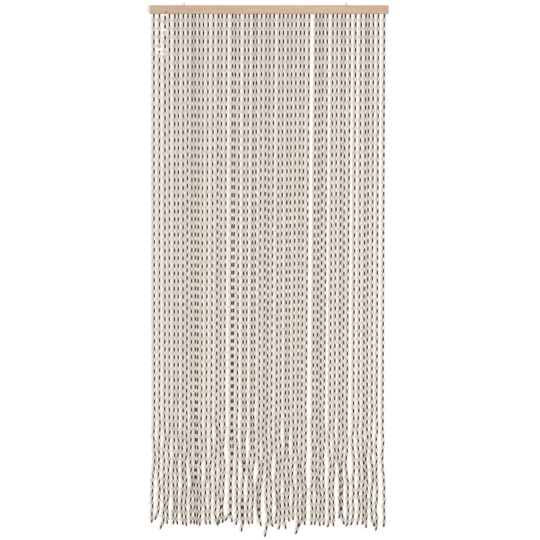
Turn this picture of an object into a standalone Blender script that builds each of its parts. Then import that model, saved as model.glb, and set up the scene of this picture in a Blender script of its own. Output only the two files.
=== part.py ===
"""Bead-string door curtain, 90 x 200 cm: strings of pale beads and dark tubes on a wooden batten.

The curtain hangs as in use. x = 0 is the middle of the batten, y = 0 the middle of its thickness,
and z = 0 the top of the holes of its two hanging eyes, where a doorway's hooks bear. +X is to the
right seen from the front, +Y points back to the wall, and +Z is up. Sizes are in millimetres and
turn into metres where they meet Blender. A place on a string is given as its distance down from
the top of the batten.
"""

import math
import random
from collections import namedtuple

import bmesh
import bpy

MM = 0.001
GAP = 0.3
WELD = 0.00001

# Wooden batten.
BATTEN_LONG = 900.0
BATTEN_THICK = 20.0
BATTEN_TALL = 31.0
BATTEN_ROUNDING = 1.6
GROOVE_LONG = 884.0
GROOVE_WIDE = 6.0
GROOVE_DEEP = 6.0

# Hanging eyes, bent from one wire each, seen edge on from the front.
EYE_PLACES = {"hanging_eye_left": -321.0, "hanging_eye_right": 291.0}
EYE_WIRE = 2.2
EYE_HOLE = 6.2
EYE_RISE = 0.4
EYE_NECK_DROP = 4.6
EYE_ARC_FROM = 30.0
EYE_ARC_TO = 320.0
EYE_ARC_STEPS = 24
EYE_SHANK_LONG = 12.0
SHARP_ANGLE = math.radians(50)
PILOT_HOLE = 3.0
PILOT_DEEP = 13.0
PILOT_SIDES = 16

# What is threaded on a string, the bare cord of its root, and the tape that the roots join. The
# tubes are longest at the top.
BEAD_WIDE = 13.6
TUBE_WIDE = 6.9
FIRST_TUBE_LONG = 15.1
LAST_TUBE_LONG = 13.3
CORD_WIDE = 2.6
SHOULDER = 2.0
TAPE_TALL = 4.0
TAPE_LONG = 880.0
TAPE_WIDE = GROOVE_WIDE - 2 * GAP
ROOT_DOWN = BATTEN_TALL - GROOVE_DEEP + GAP + TAPE_TALL / 2
FIRST_TUBE_DOWN = BATTEN_TALL + 0.9

# How the strings hang: straight to the knee, a growing sway below it, and a lean at the end.
KNEE_DOWN = 1638.0
FLICK_LONG = 30.0
SWAY_SEED = 222
SWAY = 4.5
SWAY_WAVES = (230.0, 130.0)
SWAY_SHARES = (0.6, 0.4)
SWAY_FROM = 1380.0
SWAY_FULL = 1720.0
SWAY_FADE = 60.0
ROOT_STAGGER = 1.0
ELBOW_ROOM = 14.4
STRAIGHT_STEPS = 3
HEM_STEPS = 12

# One row for each string, from left to right. head: its place along the batten. knee: its place
# where the long straight stretch ends. tip: the place of its end. drop: how far down its end is.
# flick: how far sideways its last two pieces lean.
String = namedtuple("String", "head knee tip drop flick")
STRINGS = [
    String(*row)
    for row in (
        (-435, -433, -444, 1949, -3),
        (-414, -414, -430, 1938, -12),
        (-393, -394, -409, 1972, -11),
        (-376, -377, -386, 1953, -3),
        (-356, -359, -361, 1955, 0),
        (-342, -344, -347, 1955, 2),
        (-324, -326, -325, 1957, 4),
        (-306, -312, -310, 1961, 5),
        (-290, -295, -295, 1953, 0),
        (-279, -279, -281, 1953, 1),
        (-263, -272, -274, 1956, -2),
        (-248, -256, -262, 1960, -3),
        (-230, -238, -238, 1955, 2),
        (-210, -219, -222, 1955, 2),
        (-192, -200, -196, 1960, 8),
        (-178, -185, -192, 1952, -7),
        (-160, -170, -175, 1950, 0),
        (-138, -144, -166, 1941, -20),
        (-126, -139, -139, 1947, 7),
        (-111, -121, -126, 1957, -5),
        (-91, -101, -106, 1982, -8),
        (-76, -89, -97, 1953, 8),
        (-58, -69, -77, 1955, 5),
        (-46, -58, -64, 1953, 1),
        (-28, -39, -37, 1934, 7),
        (-11, -22, -32, 1960, 4),
        (3, -9, -17, 2002, -9),
        (19, 7, 12, 1964, 6),
        (39, 26, 23, 1953, -6),
        (54, 41, 36, 1974, -5),
        (71, 60, 63, 1972, 6),
        (86, 72, 75, 1944, 1),
        (102, 90, 90, 1939, 0),
        (119, 106, 101, 1991, -9),
        (133, 121, 112, 1965, -12),
        (151, 137, 135, 1958, 0),
        (177, 164, 156, 1957, -6),
        (191, 178, 172, 1957, -5),
        (204, 192, 191, 1961, 0),
        (220, 206, 205, 1958, 0),
        (241, 228, 220, 1966, -8),
        (257, 245, 242, 1961, 0),
        (274, 268, 265, 1933, -1),
        (287, 274, 283, 1955, 10),
        (306, 292, 292, 1963, -5),
        (326, 317, 308, 1958, -10),
        (347, 336, 331, 1957, -9),
        (365, 354, 352, 1955, -3),
        (377, 368, 364, 1969, -2),
        (393, 386, 396, 1962, 9),
        (412, 405, 403, 1979, -2),
        (434, 428, 431, 1965, -3),
    )
]

EYE_RING = (EYE_HOLE + EYE_WIRE) / 2
EYE_CENTRE = -EYE_HOLE / 2
BATTEN_TOP = EYE_CENTRE - EYE_RING - EYE_WIRE / 2 - EYE_RISE


def clear_scene():
    for old in list(bpy.data.objects):
        bpy.data.objects.remove(old, do_unlink=True)


def new_collection(name):
    collection = bpy.data.collections.new(name)
    bpy.context.scene.collection.children.link(collection)
    return collection


def linear(hex_colour):
    """The linear colour of an sRGB hex value."""
    channels = [int(hex_colour[i : i + 2], 16) / 255 for i in (1, 3, 5)]
    return [c / 12.92 if c <= 0.04045 else ((c + 0.055) / 1.055) ** 2.4 for c in channels] + [1.0]


def finish(name, hex_colour, roughness, metallic=0.0):
    material = bpy.data.materials.new(name)
    material.use_nodes = True
    surface = material.node_tree.nodes["Principled BSDF"]
    surface.inputs["Base Color"].default_value = linear(hex_colour)
    surface.inputs["Roughness"].default_value = roughness
    surface.inputs["Metallic"].default_value = metallic
    return material


def move_to(obj, collection):
    for holder in list(obj.users_collection):
        holder.objects.unlink(obj)
    collection.objects.link(obj)


def block(name, collection, long, thick, tall, middle):
    """A box with its size applied, and its middle at a place in millimetres."""
    bpy.ops.mesh.primitive_cube_add(size=1.0, location=[c * MM for c in middle])
    obj = bpy.context.object
    obj.name = name
    obj.scale = (long * MM, thick * MM, tall * MM)
    bpy.ops.object.transform_apply(location=False, rotation=False, scale=True)
    move_to(obj, collection)
    return obj


def as_guide(obj):
    obj.hide_render = True
    obj.display_type = "WIRE"


def cut(obj, cutter, operation="DIFFERENCE"):
    boolean = obj.modifiers.new(cutter.name, "BOOLEAN")
    boolean.operation = operation
    boolean.solver = "EXACT"
    boolean.object = cutter


def wire_curve(name, collection, lines, radius, sides_step):
    """A wire along each of some lines. Each line's points are (x, y, z, width share)."""
    curve = bpy.data.curves.new(name, "CURVE")
    curve.dimensions = "3D"
    curve.bevel_depth = radius * MM
    curve.bevel_resolution = sides_step
    curve.use_fill_caps = True
    for line in lines:
        spline = curve.splines.new("POLY")
        spline.points.add(len(line) - 1)
        for point, (x, y, z, share) in zip(spline.points, line):
            point.co = (x * MM, y * MM, z * MM, 1.0)
            point.radius = share
    obj = bpy.data.objects.new(name, curve)
    collection.objects.link(obj)
    return obj


def as_mesh(obj):
    """The curve object remade as a mesh of its own, with its caps welded on."""
    name, collection = obj.name, obj.users_collection[0]
    bpy.context.view_layer.update()
    graph = bpy.context.evaluated_depsgraph_get()
    mesh = bpy.data.meshes.new_from_object(obj.evaluated_get(graph))
    bm = bmesh.new()
    bm.from_mesh(mesh)
    bmesh.ops.remove_doubles(bm, verts=bm.verts, dist=WELD)
    bm.to_mesh(mesh)
    bm.free()
    welded = bpy.data.objects.new(name + "_mesh", mesh)
    welded.matrix_world = obj.matrix_world
    bpy.data.objects.remove(obj, do_unlink=True)
    collection.objects.link(welded)
    welded.name = name
    return welded


def ease(low, high, value):
    """0 up to low, 1 from high on, and a smooth rise between them."""
    part = min(1.0, max(0.0, (value - low) / (high - low)))
    return part * part * (3 - 2 * part)


def sway_phases():
    """Two phases for each string, which place the waves of its hem."""
    draws = random.Random(SWAY_SEED)
    return [[draws.random() for _ in SWAY_WAVES] for _ in STRINGS]


def sideways(string, phases, down):
    """Where a string lies along the batten, some way down."""
    straight = min(1.0, max(0.0, (down - BATTEN_TALL) / (KNEE_DOWN - BATTEN_TALL)))
    place = string.head + (string.knee - string.head) * straight
    flick_down = string.drop - FLICK_LONG
    place += (string.tip - string.flick - string.knee) * ease(KNEE_DOWN, flick_down, down)
    place += string.flick * max(0.0, down - flick_down) / FLICK_LONG
    wave = sum(
        share * math.sin(2 * math.pi * (down / length + phase))
        for share, length, phase in zip(SWAY_SHARES, SWAY_WAVES, phases)
    )
    fade = 1 - ease(flick_down - SWAY_FADE, flick_down, down)
    return place + SWAY * wave * ease(SWAY_FROM, SWAY_FULL, down) * fade


def depth(index, down, phases):
    """How far a string lies in front of the middle (below 0) or behind it, some way down.

    The strings lie by turns in front and behind, each as far as its nearer neighbour needs for
    two beads to pass side by side.
    """
    here = sideways(STRINGS[index], phases[index], down)
    room = ROOT_STAGGER
    for other in (index - 1, index + 1):
        if 0 <= other < len(STRINGS):
            apart = abs(sideways(STRINGS[other], phases[other], down) - here)
            room = max(room, math.sqrt(max(0.0, ELBOW_ROOM**2 - apart**2)) / 2)
    settled = ease(BATTEN_TALL, FIRST_TUBE_DOWN + FIRST_TUBE_LONG + SHOULDER, down)
    side = -1 if index % 2 else 1
    return side * (ROOT_STAGGER + (room - ROOT_STAGGER) * settled)


def stations(string):
    """The places down a strand where it turns or changes width, each with its width."""
    bead_from = FIRST_TUBE_DOWN + FIRST_TUBE_LONG + SHOULDER
    bead_to = string.drop - LAST_TUBE_LONG - SHOULDER
    straight = [
        (bead_from + (SWAY_FROM - bead_from) * step / STRAIGHT_STEPS, BEAD_WIDE)
        for step in range(STRAIGHT_STEPS)
    ]
    hem = [
        (SWAY_FROM + (bead_to - SWAY_FROM) * step / HEM_STEPS, BEAD_WIDE)
        for step in range(HEM_STEPS + 1)
    ]
    head = [
        (ROOT_DOWN, CORD_WIDE),
        (FIRST_TUBE_DOWN - GAP, CORD_WIDE),
        (FIRST_TUBE_DOWN, TUBE_WIDE),
        (bead_from - SHOULDER, TUBE_WIDE),
    ]
    tail = [(bead_to + SHOULDER, TUBE_WIDE), (string.drop, TUBE_WIDE)]
    return head + straight + hem + tail


def make_batten(parts, cutters):
    middle = (0.0, 0.0, BATTEN_TOP - BATTEN_TALL / 2)
    batten = block("batten", parts, BATTEN_LONG, BATTEN_THICK, BATTEN_TALL, middle)
    rounding = batten.modifiers.new("softened edges", "BEVEL")
    rounding.width = BATTEN_ROUNDING * MM
    rounding.segments = 2
    underside = BATTEN_TOP - BATTEN_TALL
    groove = block("groove", cutters, GROOVE_LONG, GROOVE_WIDE, 2 * GROOVE_DEEP, (0.0, 0.0, underside))
    as_guide(groove)
    cut(batten, groove)
    for name, place in EYE_PLACES.items():
        bpy.ops.mesh.primitive_cylinder_add(
            vertices=PILOT_SIDES,
            radius=PILOT_HOLE / 2 * MM,
            depth=2 * PILOT_DEEP * MM,
            location=(place * MM, 0.0, BATTEN_TOP * MM),
        )
        pilot = bpy.context.object
        pilot.name = "pilot_" + name
        move_to(pilot, cutters)
        as_guide(pilot)
        cut(batten, pilot)
    batten.data.materials.append(finish("pale_beech", "#d4b898", 0.55))


def make_eyes(parts):
    """Each eye is a ring of wire in the plane of Y and Z, on a shank let into the batten."""
    steel = finish("zinc_plated_steel", "#9a9c9c", 0.35, 1.0)
    neck = EYE_CENTRE - EYE_NECK_DROP
    for name, place in EYE_PLACES.items():
        line = [(place, 0.0, BATTEN_TOP - EYE_SHANK_LONG, 1.0), (place, 0.0, neck, 1.0)]
        for step in range(EYE_ARC_STEPS + 1):
            turn = math.radians(EYE_ARC_FROM + (EYE_ARC_TO - EYE_ARC_FROM) * step / EYE_ARC_STEPS)
            y, z = EYE_RING * math.sin(turn), EYE_CENTRE - EYE_RING * math.cos(turn)
            line.append((place, y, z, 1.0))
        eye = as_mesh(wire_curve(name, parts, [line], EYE_WIRE / 2, 2))
        eye.data.materials.append(steel)
        eye.data.shade_smooth()
        eye.data.set_sharp_from_angle(angle=SHARP_ANGLE)


def make_strings(parts, cutters):
    """The heading tape, with every strand fused to it by its root."""
    middle = (0.0, 0.0, BATTEN_TOP - ROOT_DOWN)
    strings = block("strings", parts, TAPE_LONG, TAPE_WIDE, TAPE_TALL, middle)
    phases = sway_phases()
    lines = []
    for index, string in enumerate(STRINGS):
        line = []
        for down, wide in stations(string):
            x = sideways(string, phases[index], down)
            line.append((x, depth(index, down, phases), BATTEN_TOP - down, wide / BEAD_WIDE))
        lines.append(line)
    strands = as_mesh(wire_curve("strands", cutters, lines, BEAD_WIDE / 2, 0))
    as_guide(strands)
    cut(strings, strands, "UNION")
    strings.data.materials.append(finish("threaded_beads", "#d2c8b9", 0.6))


def main():
    clear_scene()
    parts = new_collection("bead_string_door_curtain")
    cutters = new_collection("cutters")
    cutters.hide_render = True
    make_batten(parts, cutters)
    make_eyes(parts)
    make_strings(parts, cutters)


main()
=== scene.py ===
"""Bead-string door curtain, 90 x 200 cm: the finishes, and every bead, tube, cord and knot.

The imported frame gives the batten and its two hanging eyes, which only get their finishes here. It
also holds a plain solid for the strings, which this script replaces with 52 threaded ones. They
follow the routes of that solid to within a few millimetres, so its table and its routes are
repeated below. The 43rd and 44th strings have their knees up to 5 mm aside from the solid's, where
the photograph has them, and the strings sway a little less near the hem than it does.
x = 0 is the middle of the batten, z = 0 the top of the holes of the hanging eyes, and +Y points
back to the wall. Sizes are in millimetres and turn into metres where they meet Blender. A place on
a string is given as its distance down from the top of the batten.
"""

import math
import random
from collections import namedtuple

import bmesh
import bpy
import numpy as np
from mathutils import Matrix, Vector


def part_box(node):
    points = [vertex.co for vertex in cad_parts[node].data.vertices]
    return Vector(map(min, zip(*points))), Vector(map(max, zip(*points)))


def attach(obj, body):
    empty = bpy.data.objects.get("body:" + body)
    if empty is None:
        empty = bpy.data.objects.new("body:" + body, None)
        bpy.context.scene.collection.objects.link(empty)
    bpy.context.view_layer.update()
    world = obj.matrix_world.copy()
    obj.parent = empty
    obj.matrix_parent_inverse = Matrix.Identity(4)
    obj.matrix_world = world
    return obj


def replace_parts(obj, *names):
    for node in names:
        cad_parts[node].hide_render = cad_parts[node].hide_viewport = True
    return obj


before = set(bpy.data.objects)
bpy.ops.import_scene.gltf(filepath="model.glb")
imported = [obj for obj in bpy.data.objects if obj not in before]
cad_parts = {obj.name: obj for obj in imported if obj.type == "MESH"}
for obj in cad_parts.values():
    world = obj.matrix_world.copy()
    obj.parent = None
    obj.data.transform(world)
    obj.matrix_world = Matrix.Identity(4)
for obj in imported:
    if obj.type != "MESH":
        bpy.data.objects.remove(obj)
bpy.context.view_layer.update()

MM = 0.001

# What the frame holds: the batten, and the levels of its top and its underside.
batten_low, batten_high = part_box("batten")
BATTEN_TOP = batten_high.z / MM
BATTEN_TALL = (batten_high.z - batten_low.z) / MM
UNDERSIDE = batten_low.z / MM

# The groove under the batten, and the heading tape that the strings are sewn into.
GROOVE_DEEP = 6.0
TAPE_GAP = 0.3
TAPE_LONG = 880.0
TAPE_WIDE = 5.2
TAPE_TALL = 3.9
TAPE_THICK = 1.1
TAPE_ROUNDING_STEPS = 6
TAPE_STEP = 12.0
TAPE_WAVER = 0.12
TAPE_WAVER_LONG = 232.0

# What is threaded on a string. The pieces are longer towards the top, as photographed: each
# length grows from the one given here, which holds from END_OF_EXTRA down, by a share of
# TOP_EXTRA at the batten.
BEAD_WIDE = 13.6
BEAD_LONG = 14.7
TUBE_WIDE = 6.9
TUBE_LONG = 13.3
BROKEN_TUBE_LONG = 7.2
TOP_EXTRA = 0.137
END_OF_EXTRA = 1620.0
CORD_WIDE = 1.1
FIRST_TUBE_DOWN = BATTEN_TALL + 0.9
FIRST_TUBE_LONG = 15.1

# How the strings hang: straight to the knee, a growing sway below it, and a lean at the end.
KNEE_DOWN = 1638.0
FLICK_LONG = 30.0
SWAY_SEED = 222
SWAY = 3.2
SWAY_WAVES = (230.0, 130.0)
SWAY_SHARES = (0.6, 0.4)
SWAY_FROM = 1380.0
SWAY_FULL = 1720.0
SWAY_FADE = 60.0
ROOT_STAGGER = 1.0
ELBOW_ROOM = 14.4
SHOULDER = 2.0
ROUTE_STEP = 5.0

# One row for each string, from left to right. head: its place along the batten. knee: its place
# where the long straight stretch ends. tip: the place of its end. drop: how far down its end is.
# flick: how far sideways its last two pieces lean.
String = namedtuple("String", "head knee tip drop flick")
STRINGS = [
    String(*row)
    for row in (
        (-435, -433, -444, 1949, -3),
        (-414, -414, -430, 1938, -12),
        (-393, -394, -409, 1972, -11),
        (-376, -377, -386, 1953, -3),
        (-356, -359, -361, 1955, 0),
        (-342, -344, -347, 1955, 2),
        (-324, -326, -325, 1957, 4),
        (-306, -312, -310, 1961, 5),
        (-290, -295, -295, 1953, 0),
        (-279, -279, -281, 1953, 1),
        (-263, -272, -274, 1956, -2),
        (-248, -256, -262, 1960, -3),
        (-230, -238, -238, 1955, 2),
        (-210, -219, -222, 1955, 2),
        (-192, -200, -196, 1960, 8),
        (-178, -185, -192, 1952, -7),
        (-160, -170, -175, 1950, 0),
        (-138, -144, -166, 1941, -20),
        (-126, -139, -139, 1947, 7),
        (-111, -121, -126, 1957, -5),
        (-91, -101, -106, 1982, -8),
        (-76, -89, -97, 1953, 8),
        (-58, -69, -77, 1955, 5),
        (-46, -58, -64, 1953, 1),
        (-28, -39, -37, 1934, 7),
        (-11, -22, -32, 1960, 4),
        (3, -9, -17, 2002, -9),
        (19, 7, 12, 1964, 6),
        (39, 26, 23, 1953, -6),
        (54, 41, 36, 1974, -5),
        (71, 60, 63, 1972, 6),
        (86, 72, 75, 1944, 1),
        (102, 90, 90, 1939, 0),
        (119, 106, 101, 1991, -9),
        (133, 121, 112, 1965, -12),
        (151, 137, 135, 1958, 0),
        (177, 164, 156, 1957, -6),
        (191, 178, 172, 1957, -5),
        (204, 192, 191, 1961, 0),
        (220, 206, 205, 1958, 0),
        (241, 228, 220, 1966, -8),
        (257, 245, 242, 1961, 0),
        (274, 263, 265, 1933, -1),
        (287, 277, 283, 1955, 10),
        (306, 292, 292, 1963, -5),
        (326, 317, 308, 1958, -10),
        (347, 336, 331, 1957, -9),
        (365, 354, 352, 1955, -3),
        (377, 368, 364, 1969, -2),
        (393, 386, 396, 1962, 9),
        (412, 405, 403, 1979, -2),
        (434, 428, 431, 1965, -3),
    )
]

# Where the threading slipped near the top of two strings. string: its number from the left.
# place: how many pieces are above. bare: the cord that shows above the piece. kind: what is there.
Slip = namedtuple("Slip", "string place bare kind")
SLIPS = [
    Slip(2, 7, 2.7, "bead"),
    Slip(2, 8, 9.4, "broken_tube"),
    Slip(2, 9, 3.0, "bead"),
    Slip(3, 0, 5.5, "tube"),
    Slip(3, 2, 1.9, "tube"),
    Slip(3, 3, 8.3, "bead"),
    Slip(3, 4, 2.2, "tube"),
    Slip(3, 6, 1.1, "tube"),
    Slip(3, 7, 3.8, "bead"),
    Slip(3, 8, 0.0, "missing_tube"),
    Slip(3, 9, 4.5, "bead"),
]
LONG_OF = {
    "bead": BEAD_LONG,
    "tube": TUBE_LONG,
    "broken_tube": BROKEN_TUBE_LONG,
    "missing_tube": 0.0,
}
WIDE_OF = {
    "bead": BEAD_WIDE,
    "tube": TUBE_WIDE,
    "broken_tube": TUBE_WIDE,
    "missing_tube": CORD_WIDE,
}

# How loosely the pieces sit: the sideways play of each joint between two of them, which grows
# down to the hem, and that in depth as a share of it, how far a piece slips across its cord, and
# how much one differs in width from the next.
LOOSE_SEED = 11
JOINT_PLAY = 0.3
HEM_PLAY = 2.0
DEPTH_SHARE = 0.5
CORD_SLACK = 0.25
WIDTH_SPREAD = 0.03

# How pieces of neighbouring strings settle where they would run into each other.
SETTLE_ROUNDS = 40
SETTLE_GAP = 0.3
SETTLE_NEIGHBOURS = (1, 2)
SETTLE_LEVELS = 4
SETTLE_SIDEWAYS = 0.6
BARREL = 4

# Strings joined into one piece, few enough to keep it under 200,000 triangles.
STRINGS_A_PIECE = 13

# Half profiles, as (width, level) in shares of the width and the length, from one end of the bore
# to the other. A bead is a squarish barrel, and a tube a straight length with softened rims.
BEAD_SIDES = 10
BEAD_PROFILE = (
    (0.20, -0.5),
    (0.56, -0.49),
    (0.86, -0.385),
    (0.99, -0.16),
    (0.99, 0.16),
    (0.86, 0.385),
    (0.56, 0.49),
    (0.20, 0.5),
)
TUBE_SIDES = 8
TUBE_PROFILE = (
    (0.45, -0.5),
    (0.90, -0.5),
    (1.0, -0.47),
    (1.0, 0.47),
    (0.90, 0.5),
    (0.45, 0.5),
)

# Faces that meet at more degrees than this keep a sharp edge between them.
SHARP_THREADED = 50
SHARP_TAPE = 40

# End knots: one overhand knot under each string, with its cut tail. The curve of its loop is
# KNOT_SPAN across before it is scaled.
KNOT_WIDE = 3.4
KNOT_SPAN = 6
KNOT_STEPS = 22
KNOT_TAIL = 3.0

# The batten's grain, as sizes along it, through it and up it: growth rings round a heart behind
# the face, flames where they are pushed about, short dark flecks, and patches of colour.
RINGS_APART = 3.2
HEART_BEHIND = 50.0
HEART_LEVEL = -18.0
FLAME_SIZE = (230.0, 50.0, 50.0)
FLAME_PUSH = 16.0
FLECK_SIZE = (3.5, 0.45, 0.45)
PATCH_SIZE = (70.0, 30.0, 25.0)

# The small knot in the batten's wood: its place along the batten and above the underside, and
# how far its dark heart and its rim reach. The last size is how far the painted shade on the
# batten's top and underside reaches onto its front and back.
WOOD_KNOT_PLACE = -389.0
WOOD_KNOT_UP = 5.0
WOOD_KNOT_HEART = 1.5
WOOD_KNOT_RIM = 4.5
EDGE_SHADE_RIM = 2.6

# Finer patterns: wood fibres of beads and tubes, as their length and width, the cord's twist,
# the tape's threads and the clouds in the plating of the wire.
BEAD_FIBRES = (7.0, 0.9)
TUBE_FIBRES = (12.0, 0.35)
TWIST_APART = 0.9
THREADS_APART = 0.7
CLOUD_SIZE = 1.5

# Camera. The photograph is 540 pixels square and spans this much of the curtain, in millimetres.
PHOTO_SPAN = 2036.0
PHOTO_MIDDLE = (2.6, -1005.4)
LENS = 135.0
SENSOR = 36.0

# Floor and backdrop. The floor's width and the backdrop's width and height are in metres.
# GLOW_RISE is how much brighter the backdrop glows a metre off its middle, along X, Y and Z. For Z
# that is off the lamp's height. It grows by the square.
FLOOR_DOWN = -2050.0
FLOOR_WIDE = 20.0
BACKDROP_BEHIND = 28.0
BACKDROP_WIDE = 7.0
BACKDROP_TALL = 3.4
BACKDROP_GLOW = 0.505
GLOW_RISE = (0.2, 0.0, 0.12)

# The lamp: degrees to the right, how far away, its height, its width, its beam in degrees and its
# power in watts. The surround is the white room that fills the shadows.
LAMP_TO_RIGHT = 14.0
LAMP_AWAY = 4900.0
LAMP_UP = -900.0
LAMP_WIDE = 940.0
LAMP_BEAM = 38.6
LAMP_POWER = 915.0
SURROUND = 0.28
LIGHT_COLOUR = "#fffaf8"


def ease(low, high, value):
    """0 up to low, 1 from high on, and a smooth rise between them."""
    part = np.clip((value - low) / (high - low), 0.0, 1.0)
    return part * part * (3 - 2 * part)


def sway_phases():
    """Two phases for each string, which place the waves of its hem."""
    draws = random.Random(SWAY_SEED)
    return [[draws.random() for _ in SWAY_WAVES] for _ in STRINGS]


def sideways(string, phases, down):
    """Where a string lies along the batten, some way down."""
    straight = np.clip((down - BATTEN_TALL) / (KNEE_DOWN - BATTEN_TALL), 0.0, 1.0)
    place = string.head + (string.knee - string.head) * straight
    flick_down = string.drop - FLICK_LONG
    place = place + (string.tip - string.flick - string.knee) * ease(KNEE_DOWN, flick_down, down)
    place = place + string.flick * np.maximum(0.0, down - flick_down) / FLICK_LONG
    wave = sum(
        share * np.sin(2 * math.pi * (down / length + phase))
        for share, length, phase in zip(SWAY_SHARES, SWAY_WAVES, phases)
    )
    fade = 1 - ease(flick_down - SWAY_FADE, flick_down, down)
    return place + SWAY * wave * ease(SWAY_FROM, SWAY_FULL, down) * fade


def depth(index, down, phases):
    """How far a string lies in front of the middle (below 0) or behind it, some way down.

    The strings lie by turns in front and behind, each as far as its nearer neighbour needs for
    two beads to pass side by side.
    """
    here = sideways(STRINGS[index], phases[index], down)
    room = np.full(len(down), ROOT_STAGGER)
    for other in (index - 1, index + 1):
        if 0 <= other < len(STRINGS):
            apart = sideways(STRINGS[other], phases[other], down) - here
            room = np.maximum(room, np.sqrt(np.maximum(0.0, ELBOW_ROOM**2 - apart**2)) / 2)
    settled = ease(BATTEN_TALL, FIRST_TUBE_DOWN + FIRST_TUBE_LONG + SHOULDER, down)
    side = -1 if index % 2 else 1
    return side * (ROOT_STAGGER + (room - ROOT_STAGGER) * settled)


def route(index, phases):
    """The points that a string follows from under the batten to its end, each with how far along
    it is."""
    string = STRINGS[index]
    steps = math.ceil((string.drop - FIRST_TUBE_DOWN) / ROUTE_STEP)
    down = np.linspace(FIRST_TUBE_DOWN, string.drop, steps + 1)
    across = sideways(string, phases[index], down)
    points = np.stack([across, depth(index, down, phases), BATTEN_TOP - down], axis=1)
    steps_long = np.linalg.norm(np.diff(points, axis=0), axis=1)
    return points, np.concatenate([[0.0], np.cumsum(steps_long)])


def threaded_at(number, place):
    """The kind of piece at a place on a string, and the bare cord above it."""
    for slip in SLIPS:
        if (slip.string, slip.place) == (number, place):
            return slip.kind, slip.bare
    return ("bead" if place % 2 else "tube"), 0.0


def grown(down):
    """How many times as long as at the hem a piece is, some way down."""
    extra = max(0.0, (END_OF_EXTRA - down) / (END_OF_EXTRA - BATTEN_TALL))
    return 1 + TOP_EXTRA * extra**2


def threading(number, long):
    """The pieces that fill a string of this length, as (kind, top, bottom) along it.

    Tubes and beads go by turns, with a tube at both ends. What is left of the length is shared
    out as the hair's breadth of cord between one piece and the next.
    """
    pieces = []
    used = 0.0
    while True:
        kind, bare = threaded_at(number, len(pieces))
        tall = LONG_OF[kind] * grown(FIRST_TUBE_DOWN + used)
        if used + bare + tall > long:
            break
        pieces.append((kind, bare, tall))
        used += bare + tall
    if pieces[-1][0] == "bead":
        _, bare, tall = pieces.pop()
        used -= bare + tall
    spare = (long - used) / (len(pieces) - 1)
    threaded = []
    top = -spare
    for kind, bare, tall in pieces:
        top += spare + bare
        threaded.append((kind, top, top + tall))
        top += tall
    return threaded


def hang(index, phases, draws):
    """The kinds of one string's pieces, and their top and bottom points as it hangs loosely."""
    line, along = route(index, phases)
    pieces = threading(index + 1, along[-1])
    far = np.array([(top, bottom) for _, top, bottom in pieces])
    ends = np.stack([np.interp(far, along, line[:, axis]) for axis in range(3)], axis=-1)
    joints = draws.uniform(-1, 1, (len(pieces) + 1, 2)) * (1.0, DEPTH_SHARE)
    joints[0] = 0.0
    hem = ease(SWAY_FROM, SWAY_FULL, FIRST_TUBE_DOWN + far)[..., None]
    play = JOINT_PLAY + (HEM_PLAY - JOINT_PLAY) * hem
    ends[..., :2] += np.stack([joints[:-1], joints[1:]], axis=1) * play
    return [kind for kind, _, _ in pieces], ends


def settle(kinds, hung):
    """Moves pieces of neighbouring strings apart where they would run into each other.

    kinds and hung hold one string each. Two pieces pass each other more easily in depth than
    sideways. A joint moves as the two pieces that meet there need, and the tape holds the first.
    """
    shape = (len(hung), max(len(ends) for ends in hung))
    ends = np.full((*shape, 2, 3), np.nan)
    wide = np.zeros(shape)
    for row, own in enumerate(hung):
        ends[row, : len(own)] = own
        wide[row, : len(own)] = [WIDE_OF[kind] for kind in kinds[row]]
    tall = ends[:, :, 0, 2] - ends[:, :, 1, 2]
    levels = range(-SETTLE_LEVELS, SETTLE_LEVELS + 1)
    for _ in range(SETTLE_ROUNDS):
        middles = ends.mean(axis=2)
        push = np.zeros((*shape, 2))
        for aside in SETTLE_NEIGHBOURS:
            for level in levels:
                other, other_wide, other_tall = (
                    np.roll(values[aside:], -level, axis=1) for values in (middles, wide, tall)
                )
                apart = other - middles[:-aside]
                passed = np.abs(apart[..., 2]) / ((tall[:-aside] + other_tall) / 2)
                girth = (1 - np.clip(passed, 0.0, 1.0) ** BARREL) ** (1 / BARREL)
                need = ((wide[:-aside] + other_wide) / 2 + SETTLE_GAP) * girth
                far = np.linalg.norm(apart[..., :2], axis=-1)
                short = np.maximum(0.0, need - far)
                move = np.nan_to_num(apart[..., :2] * (short / far / 2)[..., None])
                push[:-aside] -= move
                push[aside:] += np.roll(move, level, axis=1)
        push[..., 0] *= SETTLE_SIDEWAYS
        joints = np.zeros((shape[0], shape[1] + 1, 2))
        joints[:, 1:-1] = (push[:, :-1] + push[:, 1:]) / 2
        joints[:, -1] = push[:, -1]
        ends[:, :, 0, :2] += joints[:, :-1]
        ends[:, :, 1, :2] += joints[:, 1:]
    return [ends[row, : len(own)] for row, own in enumerate(hung)]


def turned(profile, sides):
    """The points and faces of a shape turned round Z, 1 wide and 1 long, with an open bore."""
    turns = np.arange(sides) * 2 * math.pi / sides
    points = np.array(
        [
            (width / 2 * math.cos(turn), width / 2 * math.sin(turn), level)
            for width, level in profile
            for turn in turns
        ]
    )
    faces = []
    for ring in range(len(profile)):
        above = (ring + 1) % len(profile)
        for side in range(sides):
            beside = (side + 1) % sides
            faces.append(
                (
                    ring * sides + side,
                    ring * sides + beside,
                    above * sides + beside,
                    above * sides + side,
                )
            )
    return points, np.array(faces)


def ridden(name, mesh, finish):
    """A piece with this mesh, its finish and its slot, riding on the curtain's one body."""
    mesh.shade_smooth()
    mesh.materials.clear()
    mesh.materials.append(finish)
    piece = bpy.data.objects.new(name, mesh)
    bpy.context.scene.collection.objects.link(piece)
    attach(piece, "root")
    return piece


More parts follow.
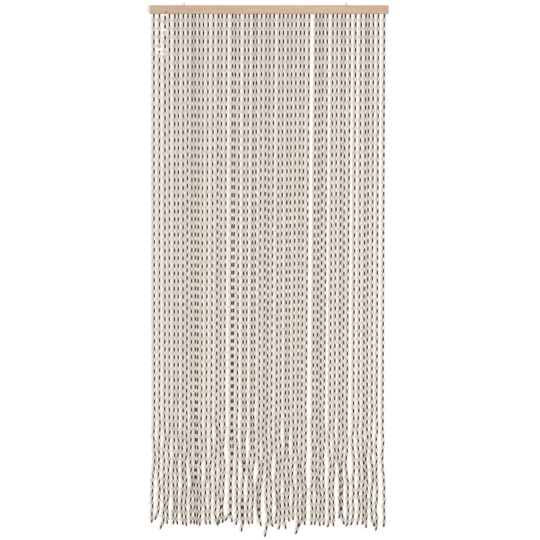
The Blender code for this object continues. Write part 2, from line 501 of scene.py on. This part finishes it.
def mesh_piece(name, points, faces, finish, sharp):
    """A piece from an array of points in millimetres and one of four-sided faces."""
    mesh = bpy.data.meshes.new(name)
    mesh.vertices.add(len(points))
    mesh.vertices.foreach_set("co", (points * MM).astype(np.float32).ravel())
    mesh.loops.add(faces.size)
    mesh.loops.foreach_set("vertex_index", faces.astype(np.int32).ravel())
    mesh.polygons.add(len(faces))
    mesh.polygons.foreach_set("loop_start", np.arange(0, faces.size, 4, dtype=np.int32))
    mesh.update(calc_edges=True)
    piece = ridden(name, mesh, finish)
    mesh.set_sharp_from_angle(angle=math.radians(sharp))
    return piece


def give(piece, attribute, kind, values):
    """Stores a value for each point of a piece, for its material to read."""
    made = piece.data.attributes.new(attribute, kind, "POINT")
    made.data.foreach_set(
        "vector" if kind == "FLOAT_VECTOR" else "value", values.astype(np.float32).ravel()
    )


def threaded_piece(name, ends, shape, wide, finish, draws):
    """Many beads or tubes as one piece, each turned round its cord by chance, a little wider or
    narrower than the next, and with grain, tone and tint of its own."""
    base, base_faces = shape
    ends = np.array(ends)
    count = len(ends)
    runs = ends[:, 0] - ends[:, 1]
    longs = np.linalg.norm(runs, axis=1)
    up = runs / longs[:, None]
    across = np.cross(up, (0.0, 1.0, 0.0))
    across /= np.linalg.norm(across, axis=1)[:, None]
    ahead = np.cross(up, across)
    spins = draws.uniform(0, 2 * math.pi, count)[:, None]
    widths = wide * (1 + draws.uniform(-WIDTH_SPREAD, WIDTH_SPREAD, count))
    slack = draws.uniform(-CORD_SLACK, CORD_SLACK, (count, 2))
    first = across * np.cos(spins) + ahead * np.sin(spins)
    second = np.cross(up, first)
    middles = ends.mean(axis=1) + across * slack[:, :1] + ahead * slack[:, 1:]
    frames = np.stack([first * widths[:, None], second * widths[:, None], runs], axis=1)
    points = middles[:, None, :] + base @ frames
    faces = base_faces[None] + np.arange(count)[:, None, None] * len(base)
    all_points, all_faces = points.reshape(-1, 3), faces.reshape(-1, 4)
    piece = mesh_piece(name, all_points, all_faces, finish, SHARP_THREADED)
    own = base[None] * np.stack([widths, widths, longs], axis=1)[:, None, :] * MM
    give(piece, "own_place", "FLOAT_VECTOR", own + draws.uniform(0, 1, (count, 1, 3)))
    give(piece, "end", "FLOAT", np.tile(np.abs(base[:, 2]) * 2, count))
    for attribute in ("tone", "tint"):
        give(piece, attribute, "FLOAT", np.repeat(draws.uniform(0, 1, count), len(base)))
    return piece


def cord_piece(name, lines, finish):
    """Cords along some lines of points, made as one bevelled curve and turned into a mesh."""
    curve = bpy.data.curves.new(name, "CURVE")
    curve.dimensions = "3D"
    curve.bevel_depth = CORD_WIDE / 2 * MM
    curve.bevel_resolution = 1
    curve.use_fill_caps = True
    for line in lines:
        spline = curve.splines.new("POLY")
        spline.points.add(len(line) - 1)
        for point, place in zip(spline.points, line):
            point.co = (*(float(number) * MM for number in place), 1.0)
    drawn = bpy.data.objects.new(name + "_line", curve)
    bpy.context.scene.collection.objects.link(drawn)
    bpy.context.view_layer.update()
    graph = bpy.context.evaluated_depsgraph_get()
    mesh = bpy.data.meshes.new_from_object(drawn.evaluated_get(graph))
    bpy.data.objects.remove(drawn, do_unlink=True)
    welded = bmesh.new()
    welded.from_mesh(mesh)
    bmesh.ops.remove_doubles(welded, verts=welded.verts, dist=0.01 * MM)
    welded.to_mesh(mesh)
    welded.free()
    return ridden(name, mesh, finish)


def knot_line(end, towards):
    """An overhand knot under a string's end, with its short tail, as points."""
    middle = end + towards * KNOT_WIDE / 2
    turns = np.linspace(0.0, 2 * math.pi, KNOT_STEPS)
    loop = np.stack(
        [
            np.sin(turns) + 2 * np.sin(2 * turns),
            np.sin(3 * turns),
            np.cos(turns) - 2 * np.cos(2 * turns),
        ],
        axis=1,
    )
    loop *= (KNOT_WIDE - CORD_WIDE) / KNOT_SPAN
    tail = middle + towards * np.array([[KNOT_WIDE / 2], [KNOT_WIDE / 2 + KNOT_TAIL]])
    return np.concatenate([[end - towards], middle + loop, tail])


def paint(hex_colour):
    """The linear colour of an sRGB hex value."""
    channels = [int(hex_colour[i : i + 2], 16) / 255 for i in (1, 3, 5)]
    return [c / 12.92 if c <= 0.04045 else ((c + 0.055) / 1.055) ** 2.4 for c in channels] + [1.0]


def per(size):
    """How many of a pattern of this size in millimetres go into a metre."""
    return 1 / (size * MM)


def scales(sizes):
    """The Scale that gives a pattern these three sizes in millimetres."""
    return tuple(per(size) for size in sizes)


def wave_scale(size):
    """The Scale that gives a Wave Texture's bands this spacing in millimetres."""
    return math.pi / 10 * per(size)


def add(tree, kind, inputs, **settings):
    """Adds a node with its settings. An input is a value, or another node's output to link."""
    node = tree.nodes.new("ShaderNode" + kind)
    for name, value in settings.items():
        setattr(node, name, value)
    for socket, value in inputs.items():
        if isinstance(value, bpy.types.NodeSocket):
            tree.links.new(value, node.inputs[socket])
        else:
            node.inputs[socket].default_value = value
    return node


def new_finish(name):
    """An empty material of this name, and its node tree."""
    material = bpy.data.materials.new(name)
    material.use_nodes = True
    material.node_tree.nodes.clear()
    return material, material.node_tree


def planed_beech():
    """Beech, planed, sanded and oiled: long soft flames of grain, short dark flecks, patches that
    turn pinker or yellower, painted shade that greys the top and underside, and one small knot low
    down near the left end."""
    material, tree = new_finish("planed_beech")
    place = add(tree, "TexCoord", {}).outputs["Object"]
    # Growth rings, pushed about by up to half of FLAME_PUSH either way.
    slow = add(tree, "Mapping", {"Vector": place, "Scale": scales(FLAME_SIZE)})
    drift = add(tree, "TexNoise", {"Vector": slow.outputs[0], "Scale": 1.0, "Detail": 3.0})
    push = add(
        tree,
        "VectorMath",
        {0: drift.outputs["Color"], 1: (0, FLAME_PUSH * MM, FLAME_PUSH * MM)},
        operation="MULTIPLY",
    )
    pushed = add(tree, "VectorMath", {0: place, 1: push.outputs[0]}, operation="ADD")
    heart_at = (0, -HEART_BEHIND * MM, -HEART_LEVEL * MM)
    heart = add(tree, "Mapping", {"Vector": pushed.outputs[0], "Location": heart_at})
    rings = add(
        tree,
        "TexWave",
        {
            "Vector": heart.outputs[0],
            "Scale": wave_scale(RINGS_APART),
            "Distortion": 1.2,
            "Detail": 2.0,
        },
        wave_type="RINGS",
        rings_direction="X",
    )
    ring_share = add(tree, "Math", {0: rings.outputs["Fac"], 1: 0.4}, operation="MULTIPLY")
    # Flecks, only where their noise is at its strongest.
    fleck_place = add(tree, "Mapping", {"Vector": place, "Scale": scales(FLECK_SIZE)})
    flecks = add(tree, "TexNoise", {"Vector": fleck_place.outputs[0], "Scale": 1.0, "Detail": 2.0})
    few = add(
        tree,
        "MapRange",
        {"Value": flecks.outputs[0], "From Min": 0.6, "From Max": 0.75, "To Max": 0.4},
    )
    patch_place = add(tree, "Mapping", {"Vector": place, "Scale": scales(PATCH_SIZE)})
    patches = add(tree, "TexNoise", {"Vector": patch_place.outputs[0], "Scale": 1.0, "Detail": 1.0})
    patch = add(
        tree, "MapRange", {"Value": patches.outputs[0], "From Min": 0.38, "From Max": 0.62}
    )
    ground = add(
        tree,
        "Mix",
        {0: patch.outputs[0], 6: paint("#d2c0a3"), 7: paint("#d6b7a0")},
        data_type="RGBA",
    ).outputs[2]
    grained = add(
        tree,
        "Mix",
        {0: ring_share.outputs[0], 6: ground, 7: paint("#c4a482")},
        data_type="RGBA",
    ).outputs[2]
    flecked = add(
        tree,
        "Mix",
        {0: few.outputs[0], 6: grained, 7: paint("#9a734e")},
        data_type="RGBA",
    ).outputs[2]
    # The small knot, on the front near the lower edge.
    knot_at = (WOOD_KNOT_PLACE * MM, batten_low.y, UNDERSIDE * MM + WOOD_KNOT_UP * MM)
    knot_off = add(tree, "VectorMath", {0: place, 1: knot_at}, operation="DISTANCE")
    knot_edge = add(
        tree,
        "MapRange",
        {
            "Value": knot_off.outputs["Value"],
            "From Min": WOOD_KNOT_HEART * MM,
            "From Max": WOOD_KNOT_RIM * MM,
        },
    )
    knotted = add(
        tree,
        "Mix",
        {0: knot_edge.outputs[0], 6: paint("#603c28"), 7: flecked},
        data_type="RGBA",
    ).outputs[2]
    # The top, the underside and the rounded edges beside them, greyed by painted shade.
    level = add(tree, "SeparateXYZ", {0: place}).outputs["Z"]
    middle = (BATTEN_TOP + UNDERSIDE) / 2 * MM
    off_middle = add(tree, "Math", {0: level, 1: middle}, operation="SUBTRACT")
    edge = add(tree, "Math", {0: off_middle.outputs[0]}, operation="ABSOLUTE")
    batten_edge_shade = add(
        tree,
        "MapRange",
        {
            "Value": edge.outputs[0],
            "From Min": BATTEN_TALL / 2 * MM - EDGE_SHADE_RIM * MM,
            "From Max": BATTEN_TALL / 2 * MM,
            "To Max": 0.5,
        },
    )
    surface = add(
        tree,
        "Mix",
        {0: batten_edge_shade.outputs[0], 6: knotted, 7: paint("#a8997f")},
        data_type="RGBA",
    ).outputs[2]
    gloss = add(tree, "MapRange", {"Value": flecks.outputs[0], "To Min": 0.5, "To Max": 0.62})
    pores = add(
        tree,
        "Bump",
        {"Height": flecks.outputs[0], "Strength": 0.35, "Distance": 0.06 * MM},
    )
    shader = add(
        tree,
        "BsdfPrincipled",
        {
            "Base Color": surface,
            "Roughness": gloss.outputs[0],
            "Normal": pores.outputs[0],
            "IOR": 1.5,
        },
    )
    add(tree, "OutputMaterial", {"Surface": shader.outputs[0]})
    return material


def zinc_plated_wire():
    """Steel wire, bent and zinc plated, dulled to a dark, cool grey: a faint cloudiness, and
    drawing lines too fine to see, which only blur its shine."""
    material, tree = new_finish("zinc_plated_steel_wire")
    place = add(tree, "TexCoord", {}).outputs["Object"]
    clouds = add(tree, "TexNoise", {"Vector": place, "Scale": per(CLOUD_SIZE), "Detail": 3.0})
    surface = add(
        tree,
        "Mix",
        {0: clouds.outputs[0], 6: paint("#4b4d4f"), 7: paint("#66696a")},
        data_type="RGBA",
    ).outputs[2]
    gloss = add(tree, "MapRange", {"Value": clouds.outputs[0], "To Min": 0.25, "To Max": 0.5})
    shader = add(
        tree,
        "BsdfPrincipled",
        {"Base Color": surface, "Metallic": 1.0, "Roughness": gloss.outputs[0]},
    )
    add(tree, "OutputMaterial", {"Surface": shader.outputs[0]})
    return material


def own_fibres(tree, fibres):
    """Wood fibres of this length and width, which run along a threaded piece's bore and differ
    from one piece to the next."""
    along, across = fibres
    own = add(tree, "Attribute", {}, attribute_name="own_place").outputs["Vector"]
    place = add(tree, "Mapping", {"Vector": own, "Scale": scales((across, across, along))})
    noise = add(tree, "TexNoise", {"Vector": place.outputs[0], "Scale": 1.0, "Detail": 3.0})
    return noise.outputs[0]


def limed_beech():
    """Beech beads, turned, limed and thinly waxed: pale and chalky with a faint sheen, each a
    little lighter or darker, some leaning to green and some to pink, with the fibres just showing
    through, and painted shade, darker and yellower, towards the bore at each end."""
    material, tree = new_finish("limed_beech")
    fibres = own_fibres(tree, BEAD_FIBRES)
    tone = add(tree, "Attribute", {}, attribute_name="tone").outputs["Fac"]
    tint = add(tree, "Attribute", {}, attribute_name="tint").outputs["Fac"]
    end = add(tree, "Attribute", {}, attribute_name="end").outputs["Fac"]
    limed = add(
        tree,
        "Mix",
        {0: tone, 6: paint("#e6e2d7"), 7: paint("#d1cbbd")},
        data_type="RGBA",
    ).outputs[2]
    hue = add(
        tree,
        "Mix",
        {0: tint, 6: paint("#d6d8c4"), 7: paint("#dccdc3")},
        data_type="RGBA",
    ).outputs[2]
    tinted = add(tree, "Mix", {0: 0.28, 6: limed, 7: hue}, data_type="RGBA").outputs[2]
    # Painted shade: darker and yellower towards both ends of each bead, where it curves away from
    # the light.
    end_shade_and_rub = add(
        tree,
        "MapRange",
        {"Value": end, "From Min": 0.75, "From Max": 1.0, "To Max": 0.45},
    )
    ends_shaded_and_worn = add(
        tree,
        "Mix",
        {0: end_shade_and_rub.outputs[0], 6: tinted, 7: paint("#cdb799")},
        data_type="RGBA",
    ).outputs[2]
    shade = add(
        tree,
        "MapRange",
        {"Value": fibres, "From Min": 0.3, "From Max": 0.7, "To Min": 0.86, "To Max": 1.05},
    )
    surface = add(tree, "VectorMath", {0: ends_shaded_and_worn, 3: shade.outputs[0]}, operation="SCALE")
    relief = add(tree, "Bump", {"Height": fibres, "Strength": 0.5, "Distance": 0.05 * MM})
    shader = add(
        tree,
        "BsdfPrincipled",
        {
            "Base Color": surface.outputs[0],
            "Roughness": 0.36,
            "IOR": 1.5,
            "Normal": relief.outputs[0],
        },
    )
    add(tree, "OutputMaterial", {"Surface": shader.outputs[0]})
    return material


def walnut_stained_beech():
    """Beech tubes under a dark walnut stain and buffed wax: nearly black, redder or more olive by
    turns, with fine lines along them, a narrow satin shine down the side that faces the lamp, and
    paler rims where the stain has rubbed off."""
    material, tree = new_finish("walnut_stained_beech")
    fibres = own_fibres(tree, TUBE_FIBRES)
    tone = add(tree, "Attribute", {}, attribute_name="tone").outputs["Fac"]
    tint = add(tree, "Attribute", {}, attribute_name="tint").outputs["Fac"]
    end = add(tree, "Attribute", {}, attribute_name="end").outputs["Fac"]
    stained = add(
        tree,
        "Mix",
        {0: tone, 6: paint("#2a130a"), 7: paint("#402418")},
        data_type="RGBA",
    ).outputs[2]
    hue = add(
        tree,
        "Mix",
        {0: tint, 6: paint("#2e250e"), 7: paint("#491f12")},
        data_type="RGBA",
    ).outputs[2]
    tinted = add(tree, "Mix", {0: 0.35, 6: stained, 7: hue}, data_type="RGBA").outputs[2]
    end_shade_and_rub = add(
        tree,
        "MapRange",
        {"Value": end, "From Min": 0.93, "From Max": 1.0, "To Max": 0.35},
    )
    ends_shaded_and_worn = add(
        tree,
        "Mix",
        {0: end_shade_and_rub.outputs[0], 6: tinted, 7: paint("#6b4f38")},
        data_type="RGBA",
    ).outputs[2]
    shade = add(
        tree,
        "MapRange",
        {"Value": fibres, "From Min": 0.3, "From Max": 0.7, "To Min": 0.75, "To Max": 1.15},
    )
    surface = add(tree, "VectorMath", {0: ends_shaded_and_worn, 3: shade.outputs[0]}, operation="SCALE")
    relief = add(tree, "Bump", {"Height": fibres, "Strength": 0.12, "Distance": 0.08 * MM})
    shader = add(
        tree,
        "BsdfPrincipled",
        {
            "Base Color": surface.outputs[0],
            "Roughness": 0.17,
            "IOR": 1.5,
            "Normal": relief.outputs[0],
        },
    )
    add(tree, "OutputMaterial", {"Surface": shader.outputs[0]})
    return material


def twisted_cord():
    """Off-white polyester cord of twisted strands: a faint slant of shadow lines, with the dull
    sheen of its fibres."""
    material, tree = new_finish("twisted_polyester_cord")
    place = add(tree, "TexCoord", {}).outputs["Object"]
    twist = add(
        tree,
        "TexWave",
        {"Vector": place, "Scale": wave_scale(TWIST_APART), "Distortion": 0.4},
        bands_direction="DIAGONAL",
    ).outputs["Fac"]
    surface = add(
        tree,
        "Mix",
        {0: twist, 6: paint("#c9c2b4"), 7: paint("#ebe7dd")},
        data_type="RGBA",
    ).outputs[2]
    bump = add(tree, "Bump", {"Height": twist, "Strength": 0.6, "Distance": 0.12 * MM})
    shader = add(
        tree,
        "BsdfPrincipled",
        {
            "Base Color": surface,
            "Roughness": 0.7,
            "Sheen Weight": 0.2,
            "Normal": bump.outputs[0],
        },
    )
    add(tree, "OutputMaterial", {"Surface": shader.outputs[0]})
    return material


def woven_tape():
    """Plain-woven cotton tape: threads over and under each other, matt and off-white."""
    material, tree = new_finish("woven_cotton_tape")
    place = add(tree, "TexCoord", {}).outputs["Object"]
    threads = {"Vector": place, "Scale": wave_scale(THREADS_APART)}
    warp = add(tree, "TexWave", threads, bands_direction="X").outputs["Fac"]
    weft = add(tree, "TexWave", threads, bands_direction="Z").outputs["Fac"]
    weave = add(tree, "Math", {0: warp, 1: weft}, operation="MULTIPLY").outputs[0]
    surface = add(
        tree,
        "Mix",
        {0: weave, 6: paint("#b9b0a0"), 7: paint("#e4ded0")},
        data_type="RGBA",
    ).outputs[2]
    bump = add(tree, "Bump", {"Height": weave, "Strength": 0.6, "Distance": 0.15 * MM})
    shader = add(
        tree,
        "BsdfPrincipled",
        {"Base Color": surface, "Roughness": 0.85, "Normal": bump.outputs[0]},
    )
    add(tree, "OutputMaterial", {"Surface": shader.outputs[0]})
    return material


def make_tape(finish):
    """The heading tape, folded over the strings' tops like an upside-down U and let into the
    groove, with a slight waver along it."""
    outer, inner = TAPE_WIDE / 2, TAPE_WIDE / 2 - TAPE_THICK
    tall = TAPE_TALL - outer
    turns = [math.pi * step / TAPE_ROUNDING_STEPS for step in range(TAPE_ROUNDING_STEPS + 1)]
    over = [(outer * math.cos(turn), outer * math.sin(turn)) for turn in turns]
    under = [(inner * math.cos(turn), inner * math.sin(turn)) for turn in reversed(turns)]
    section = [(outer, -tall), *over, (-outer, -tall), (-inner, -tall), *under, (inner, -tall)]
    crown = UNDERSIDE + GROOVE_DEEP - TAPE_GAP - outer
    places = np.linspace(-TAPE_LONG / 2, TAPE_LONG / 2, round(TAPE_LONG / TAPE_STEP) + 1)
    points = np.array(
        [
            (x, y + TAPE_WAVER * math.sin(2 * math.pi * x / TAPE_WAVER_LONG), crown + z)
            for x in places
            for y, z in section
        ]
    )
    around = len(section)
    faces = [
        (
            ring * around + side,
            ring * around + (side + 1) % around,
            (ring + 1) * around + (side + 1) % around,
            (ring + 1) * around + side,
        )
        for ring in range(len(places) - 1)
        for side in range(around)
    ]
    half = around // 2
    for ring in (0, len(places) - 1):
        for side in range(half - 1):
            pair = [side, side + 1, around - 2 - side, around - 1 - side]
            cap = [ring * around + corner for corner in pair]
            faces.append(cap if ring else cap[::-1])
    faces = np.array(faces)
    return mesh_piece("heading_tape", points, faces, finish, SHARP_TAPE)


def hang_strings(draws):
    """All 52 strings, as the kinds of their pieces and their top and bottom points."""
    phases = sway_phases()
    kinds, hung = zip(*(hang(index, phases, draws) for index in range(len(STRINGS))))
    return kinds, settle(kinds, hung)


def cord_line(ends):
    """The points of a string's cord, from the tape through every joint to its last piece."""
    root_level = UNDERSIDE + GROOVE_DEEP - TAPE_GAP - TAPE_TALL / 2
    first = ends[0, 0]
    joints = (ends[:-1, 1] + ends[1:, 0]) / 2
    return np.concatenate([[(first[0], first[1] / 2, root_level), first], joints, [ends[-1, 1]]])


def make_strings():
    """The 52 strings, as pieces of 13 strings each: their beads, their tubes and their cords."""
    beads_finish = limed_beech()
    tubes_finish = walnut_stained_beech()
    cord_finish = twisted_cord()
    bead_shape = turned(BEAD_PROFILE, BEAD_SIDES)
    tube_shape = turned(TUBE_PROFILE, TUBE_SIDES)
    draws = np.random.default_rng(LOOSE_SEED)
    kinds, hung = hang_strings(draws)
    for start in range(0, len(STRINGS), STRINGS_A_PIECE):
        stop = min(start + STRINGS_A_PIECE, len(STRINGS))
        beads, tubes = [], []
        for index in range(start, stop):
            for kind, ends in zip(kinds[index], hung[index]):
                if kind == "bead":
                    beads.append(ends)
                elif kind != "missing_tube":
                    tubes.append(ends)
        those = f"strings_{start + 1}_to_{stop}"
        cords = [cord_line(ends) for ends in hung[start:stop]]
        for piece in (
            threaded_piece(
                "beads_of_" + those, beads, bead_shape, BEAD_WIDE, beads_finish, draws
            ),
            threaded_piece(
                "tubes_of_" + those, tubes, tube_shape, TUBE_WIDE, tubes_finish, draws
            ),
            cord_piece("cords_of_" + those, cords, cord_finish),
        ):
            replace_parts(piece, "strings")
    knots = []
    for ends in hung:
        top, bottom = ends[-1]
        knots.append(knot_line(bottom, (bottom - top) / np.linalg.norm(bottom - top)))
    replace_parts(cord_piece("end_knots", knots, cord_finish), "strings")


def dress_frame():
    """The finishes of the batten and its eyes, which the frame already holds."""
    wire = zinc_plated_wire()
    finishes = {"batten": planed_beech(), "hanging_eye_left": wire, "hanging_eye_right": wire}
    for name, finish in finishes.items():
        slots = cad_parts[name].data.materials
        slots.clear()
        slots.append(finish)


def make_camera():
    """Level and straight on, through a long lens, as the photograph is."""
    data = bpy.data.cameras.new("camera")
    data.lens = LENS
    data.sensor_width = SENSOR
    data.clip_end = 100.0
    camera = bpy.data.objects.new("camera", data)
    away = PHOTO_SPAN * MM * LENS / SENSOR
    camera.location = (PHOTO_MIDDLE[0] * MM, -away, PHOTO_MIDDLE[1] * MM)
    camera.rotation_euler = (math.radians(90), 0.0, 0.0)
    bpy.context.scene.collection.objects.link(camera)
    bpy.context.scene.camera = camera


def glowing_backdrop():
    """Opal acrylic, matt and pale grey, lit from behind, a little more towards its rims where the
    lamp's beam thins out, so that it is white all over and shadows on it stay pale. It shows on its
    front only, so that the curtain is seen from behind as well."""
    material, tree = new_finish("glowing_white_backdrop")
    side = add(tree, "NewGeometry", {}).outputs["Backfacing"]
    matt = add(tree, "BsdfDiffuse", {"Color": paint("#bcbcbc")})
    place = add(tree, "NewGeometry", {}).outputs["Position"]
    apart = add(tree, "VectorMath", {0: place, 1: (0.0, 0.0, -LAMP_UP * MM)}, operation="ADD")
    shares = add(tree, "VectorMath", {0: apart.outputs[0], 1: GLOW_RISE}, operation="MULTIPLY")
    rise = add(
        tree,
        "VectorMath",
        {0: apart.outputs[0], 1: shares.outputs[0]},
        operation="DOT_PRODUCT",
    )
    bright = add(tree, "Math", {0: rise.outputs["Value"], 1: BACKDROP_GLOW}, operation="ADD")
    glow = add(tree, "Emission", {"Color": paint(LIGHT_COLOUR), "Strength": bright.outputs[0]})
    front = add(tree, "AddShader", {0: matt.outputs[0], 1: glow.outputs[0]})
    back = add(tree, "BsdfTransparent", {})
    shown = add(tree, "MixShader", {0: side, 1: front.outputs[0], 2: back.outputs[0]})
    add(tree, "OutputMaterial", {"Surface": shown.outputs[0]})
    return material


def make_studio():
    """A pale floor just under the curtain, a white backdrop close behind it, which takes the soft
    shadows, a white surround and one soft lamp, in front at half the curtain's height and a little
    to the right of the camera."""
    scene = bpy.context.scene
    scene.view_settings.view_transform = "Standard"
    world = bpy.data.worlds.new("white_surround")
    scene.world = world
    world.use_nodes = True
    surround = world.node_tree.nodes["Background"]
    surround.inputs["Color"].default_value = paint(LIGHT_COLOUR)
    surround.inputs["Strength"].default_value = SURROUND
    paper, tree = new_finish("pale_studio_floor")
    shader = add(tree, "BsdfDiffuse", {"Color": paint("#f4f3f1")})
    add(tree, "OutputMaterial", {"Surface": shader.outputs[0]})
    bpy.ops.mesh.primitive_plane_add(size=FLOOR_WIDE, location=(0.0, 0.0, FLOOR_DOWN * MM))
    floor = bpy.context.object
    floor.name = "studio_floor"
    floor.data.materials.append(paper)
    middle = (0.0, BACKDROP_BEHIND * MM, FLOOR_DOWN * MM + BACKDROP_TALL / 2)
    upright = (math.radians(90), 0.0, 0.0)
    bpy.ops.mesh.primitive_plane_add(size=1.0, location=middle, rotation=upright)
    backdrop = bpy.context.object
    backdrop.name = "studio_backdrop"
    backdrop.scale = (BACKDROP_WIDE, BACKDROP_TALL, 1.0)
    backdrop.data.materials.append(glowing_backdrop())
    lamp = bpy.data.lights.new("soft_lamp", "SPOT")
    lamp.energy = LAMP_POWER
    lamp.color = paint(LIGHT_COLOUR)[:3]
    lamp.shadow_soft_size = LAMP_WIDE / 2 * MM
    lamp.spot_size = math.radians(LAMP_BEAM)
    lamp.spot_blend = 1.0
    holder = bpy.data.objects.new("soft_lamp", lamp)
    turn = math.radians(LAMP_TO_RIGHT)
    away = LAMP_AWAY * MM
    holder.location = (away * math.sin(turn), -away * math.cos(turn), LAMP_UP * MM)
    holder.rotation_euler = (math.radians(90), 0.0, turn)
    holder.visible_camera = False
    scene.collection.objects.link(holder)


dress_frame()
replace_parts(make_tape(woven_tape()), "strings")
make_strings()
make_camera()
make_studio()
